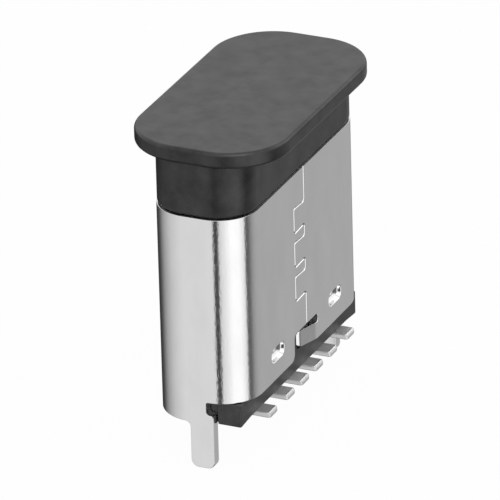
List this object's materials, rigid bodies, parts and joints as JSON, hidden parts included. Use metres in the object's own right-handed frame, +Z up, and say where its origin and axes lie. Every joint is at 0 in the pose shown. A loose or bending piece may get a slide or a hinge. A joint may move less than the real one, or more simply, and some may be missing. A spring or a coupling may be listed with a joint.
{
  "type": "upright usb connector",
  "caption": "Upright board connector with an oblong metal shell, flat solder tails along one side, board pegs and a black flanged cap plugged into its mouth.",
  "frame": {"origin": "on the board's top face, under the middle of the mouth", "axes": "+Z up out of the mouth towards the plug, +X along the mouth, solder tails towards -Y"},
  "size_m": [0.009, 0.005, 0.0103],
  "materials": {
    "cap_plastic": "moulded black plastic, lightly textured",
    "shell_steel": "bright rolled stainless sheet",
    "base_plastic": "moulded black liquid-crystal polymer",
    "tongue_plastic": "moulded black liquid-crystal polymer",
    "plate_steel": "stamped stainless sheet",
    "contact_metal": "copper alloy, plated bright"
  },
  "bodies": {
    "receptacle": {"shell": "shell_steel", "housing": "base_plastic", "insert_front": "tongue_plastic", "insert_back": "tongue_plastic", "mid_plate": "plate_steel", "contact_a5": "contact_metal", "contact_a9": "contact_metal", "contact_a12": "contact_metal", "contact_b5": "contact_metal", "contact_b9": "contact_metal", "contact_b12": "contact_metal"},
    "cap": {"cap": "cap_plastic"}
  },
  "joints": [
    {"name": "cap_lift", "type": "slide", "parent": "receptacle", "child": "cap", "axis": [0, 0, 1], "range_m": [0, 0.005]}
  ]
}
